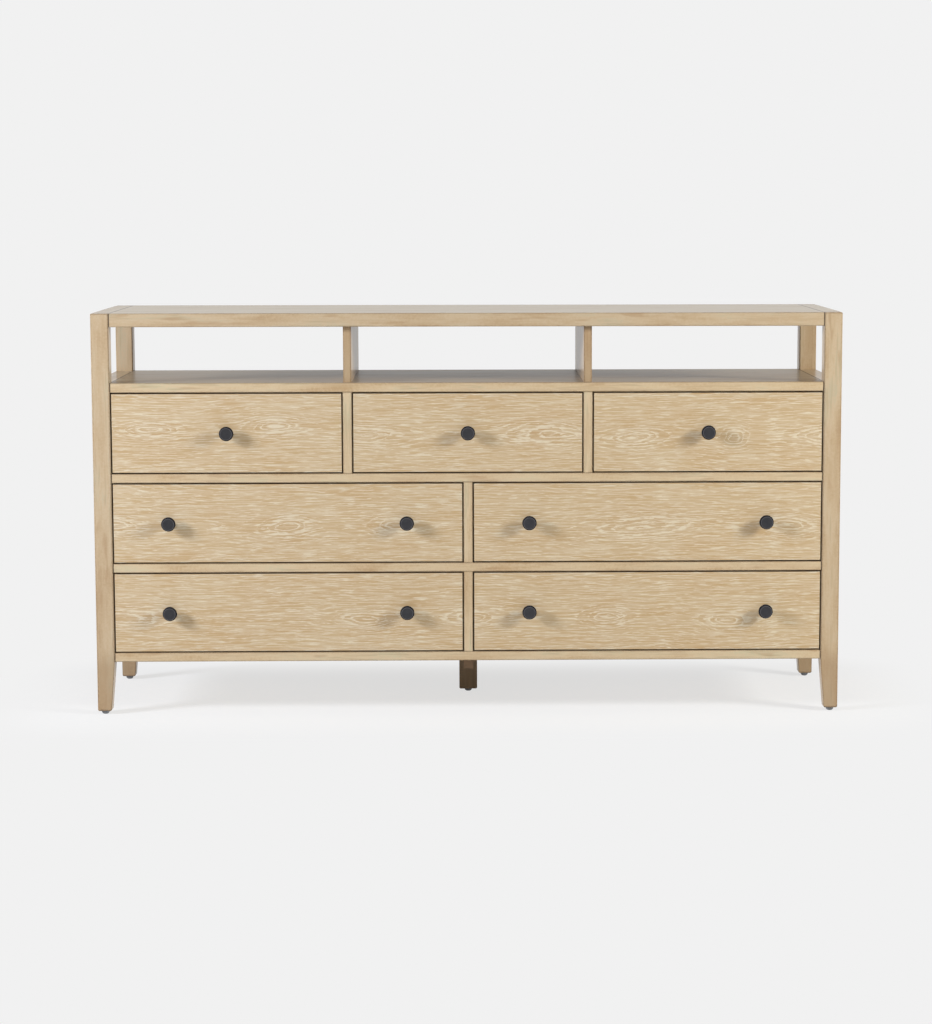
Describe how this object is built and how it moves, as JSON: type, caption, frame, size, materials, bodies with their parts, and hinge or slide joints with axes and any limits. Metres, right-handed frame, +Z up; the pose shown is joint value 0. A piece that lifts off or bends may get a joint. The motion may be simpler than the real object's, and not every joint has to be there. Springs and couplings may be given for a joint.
{
  "type": "dresser",
  "caption": "Wide oak dresser: sliding drawers with round metal knobs below an open divided shelf, on tapered legs with a centre support leg.",
  "frame": {"origin": "on the floor, in the middle between the four corner feet", "axes": "+Z up; +X to the right of someone who faces the drawers; the drawers open towards -Y"},
  "size_m": [1.676, 0.488, 0.905],
  "materials": {
    "oak_frame": "satin, pale greyed oak",
    "limed_oak_front": "satin, limed open grain",
    "inner_wood": "plain sealed wood",
    "dark_stained_wood": "dark brown stain",
    "knob_metal": "satin gunmetal",
    "glide": "matt grey"
  },
  "bodies": {
    "case": {"back_panel": "inner_wood", "bottom_back_rail": "oak_frame", "bottom_front_rail": "oak_frame", "bottom_panel": "inner_wood", "centre_leg": "dark_stained_wood", "centre_partition": "inner_wood", "centre_stretcher": "dark_stained_wood", "cross_bearers": "inner_wood", "drawer_runners": "inner_wood", "glides": "glide", "left_back_post": "oak_frame", "left_bottom_side_rail": "oak_frame", "left_front_post": "oak_frame", "left_shelf_divider": "oak_frame", "left_shelf_side_rail": "oak_frame", "left_side_panel": "oak_frame", "left_top_side_rail": "oak_frame", "lower_front_rail": "oak_frame", "right_back_post": "oak_frame", "right_bottom_side_rail": "oak_frame", "right_front_post": "oak_frame", "right_shelf_divider": "oak_frame", "right_shelf_side_rail": "oak_frame", "right_side_panel": "oak_frame", "right_top_side_rail": "oak_frame", "shelf_panel": "oak_frame", "stiles": "oak_frame", "top_panel": "oak_frame", "upper_back_rail": "oak_frame", "upper_front_rail": "oak_frame", "upper_partitions": "inner_wood"},
    "upper_left_drawer": {"upper_left_drawer_bottom": "inner_wood", "upper_left_drawer_box": "inner_wood", "upper_left_drawer_front": "limed_oak_front", "upper_left_drawer_knob": "knob_metal"},
    "upper_middle_drawer": {"upper_middle_drawer_bottom": "inner_wood", "upper_middle_drawer_box": "inner_wood", "upper_middle_drawer_front": "limed_oak_front", "upper_middle_drawer_knob": "knob_metal"},
    "upper_right_drawer": {"upper_right_drawer_bottom": "inner_wood", "upper_right_drawer_box": "inner_wood", "upper_right_drawer_front": "limed_oak_front", "upper_right_drawer_knob": "knob_metal"},
    "middle_left_drawer": {"middle_left_drawer_bottom": "inner_wood", "middle_left_drawer_box": "inner_wood", "middle_left_drawer_front": "limed_oak_front", "middle_left_drawer_knobs": "knob_metal"},
    "middle_right_drawer": {"middle_right_drawer_bottom": "inner_wood", "middle_right_drawer_box": "inner_wood", "middle_right_drawer_front": "limed_oak_front", "middle_right_drawer_knobs": "knob_metal"},
    "lower_left_drawer": {"lower_left_drawer_bottom": "inner_wood", "lower_left_drawer_box": "inner_wood", "lower_left_drawer_front": "limed_oak_front", "lower_left_drawer_knobs": "knob_metal"},
    "lower_right_drawer": {"lower_right_drawer_bottom": "inner_wood", "lower_right_drawer_box": "inner_wood", "lower_right_drawer_front": "limed_oak_front", "lower_right_drawer_knobs": "knob_metal"}
  },
  "joints": [
    {"name": "upper_left_drawer_slide", "type": "slide", "parent": "case", "child": "upper_left_drawer", "axis": [0, -1, 0], "range_m": [0, 0.32]},
    {"name": "upper_middle_drawer_slide", "type": "slide", "parent": "case", "child": "upper_middle_drawer", "axis": [0, -1, 0], "range_m": [0, 0.32]},
    {"name": "upper_right_drawer_slide", "type": "slide", "parent": "case", "child": "upper_right_drawer", "axis": [0, -1, 0], "range_m": [0, 0.32]},
    {"name": "middle_left_drawer_slide", "type": "slide", "parent": "case", "child": "middle_left_drawer", "axis": [0, -1, 0], "range_m": [0, 0.32]},
    {"name": "middle_right_drawer_slide", "type": "slide", "parent": "case", "child": "middle_right_drawer", "axis": [0, -1, 0], "range_m": [0, 0.32]},
    {"name": "lower_left_drawer_slide", "type": "slide", "parent": "case", "child": "lower_left_drawer", "axis": [0, -1, 0], "range_m": [0, 0.32]},
    {"name": "lower_right_drawer_slide", "type": "slide", "parent": "case", "child": "lower_right_drawer", "axis": [0, -1, 0], "range_m": [0, 0.32]}
  ]
}
